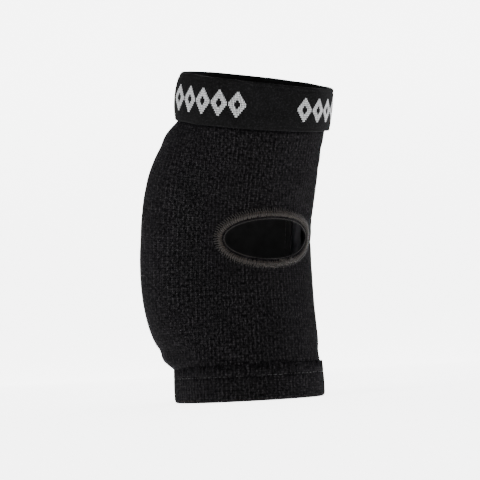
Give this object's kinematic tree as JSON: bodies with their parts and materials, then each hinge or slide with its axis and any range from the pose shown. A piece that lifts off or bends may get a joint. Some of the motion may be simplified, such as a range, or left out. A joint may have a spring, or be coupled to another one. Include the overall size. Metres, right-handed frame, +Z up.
{
  "type": "elbow pad",
  "caption": "Knitted pull-on elbow sleeve with a thick foam pad at the back, an oval crease opening with an overlocked edge, a wide elastic cuff and a folded hem.",
  "frame": {"origin": "centre of the lower (forearm) opening, on the plane that the hem stands on", "axes": "+Z up the forearm towards the elbow and the upper arm, -Y towards the inside of the elbow where the crease opening is, +Y towards the padded back, +X across the arm"},
  "size_m": [0.124, 0.1438, 0.2209],
  "materials": {
    "knit": "matte black rib knit of cotton and polyester with fine vertical wales and a little fuzz",
    "elastic": "dense matte black woven elastic with fine lengthwise rows",
    "motif": "pale grey jacquard yarn",
    "binding": "charcoal, slightly brown, silky overlock thread laid in close loops",
    "black_thread": "black polyester sewing thread with a low sheen",
    "foam": "charcoal closed-cell foam",
    "lining": "smooth black tricot lining",
    "rubber_thread": "covered rubber thread"
  },
  "bodies": {
    "forearm_section": {"sleeve_knit_lower": "knit", "hem_band": "knit", "hem_cover_stitches": "black_thread", "hem_looper_thread": "black_thread"},
    "elbow_section": {"sleeve_knit_elbow": "knit", "foam_shell": "foam", "foam_comfort_layer": "foam", "pad_lining": "lining", "pad_lining_stitches": "black_thread", "crease_binding_roll": "binding", "crease_binding_loops": "binding", "crease_binding_needle_thread": "black_thread", "crease_binding_tail": "binding"},
    "upper_arm_section": {"sleeve_knit_upper": "knit", "cuff_band_face": "elastic", "cuff_band_backing": "elastic", "cuff_elastic_strands": "rubber_thread", "cuff_motif_yarns": "motif", "cuff_attach_stitches": "black_thread", "cuff_join_stitches": "black_thread"}
  },
  "joints": [
    {"name": "elbow_flex", "type": "hinge", "parent": "forearm_section", "child": "upper_arm_section", "pos_m": [0, 0, 0.105], "axis": [1, 0, 0], "range_deg": [-15, 75], "stiffness_Nm_per_rad": 0.35, "deforming": ["sleeve_knit_elbow", "foam_shell", "foam_comfort_layer", "pad_lining", "pad_lining_stitches", "crease_binding_roll", "crease_binding_loops", "crease_binding_needle_thread", "crease_binding_tail"]},
    {"name": "elbow_middle", "type": "hinge", "parent": "forearm_section", "child": "elbow_section", "pos_m": [0, 0, 0.105], "axis": [1, 0, 0], "range_deg": [-7.5, 37.5]}
  ],
  "couplings": [
    {"joint": "elbow_middle", "follows": "elbow_flex", "ratio": 0.5}
  ]
}
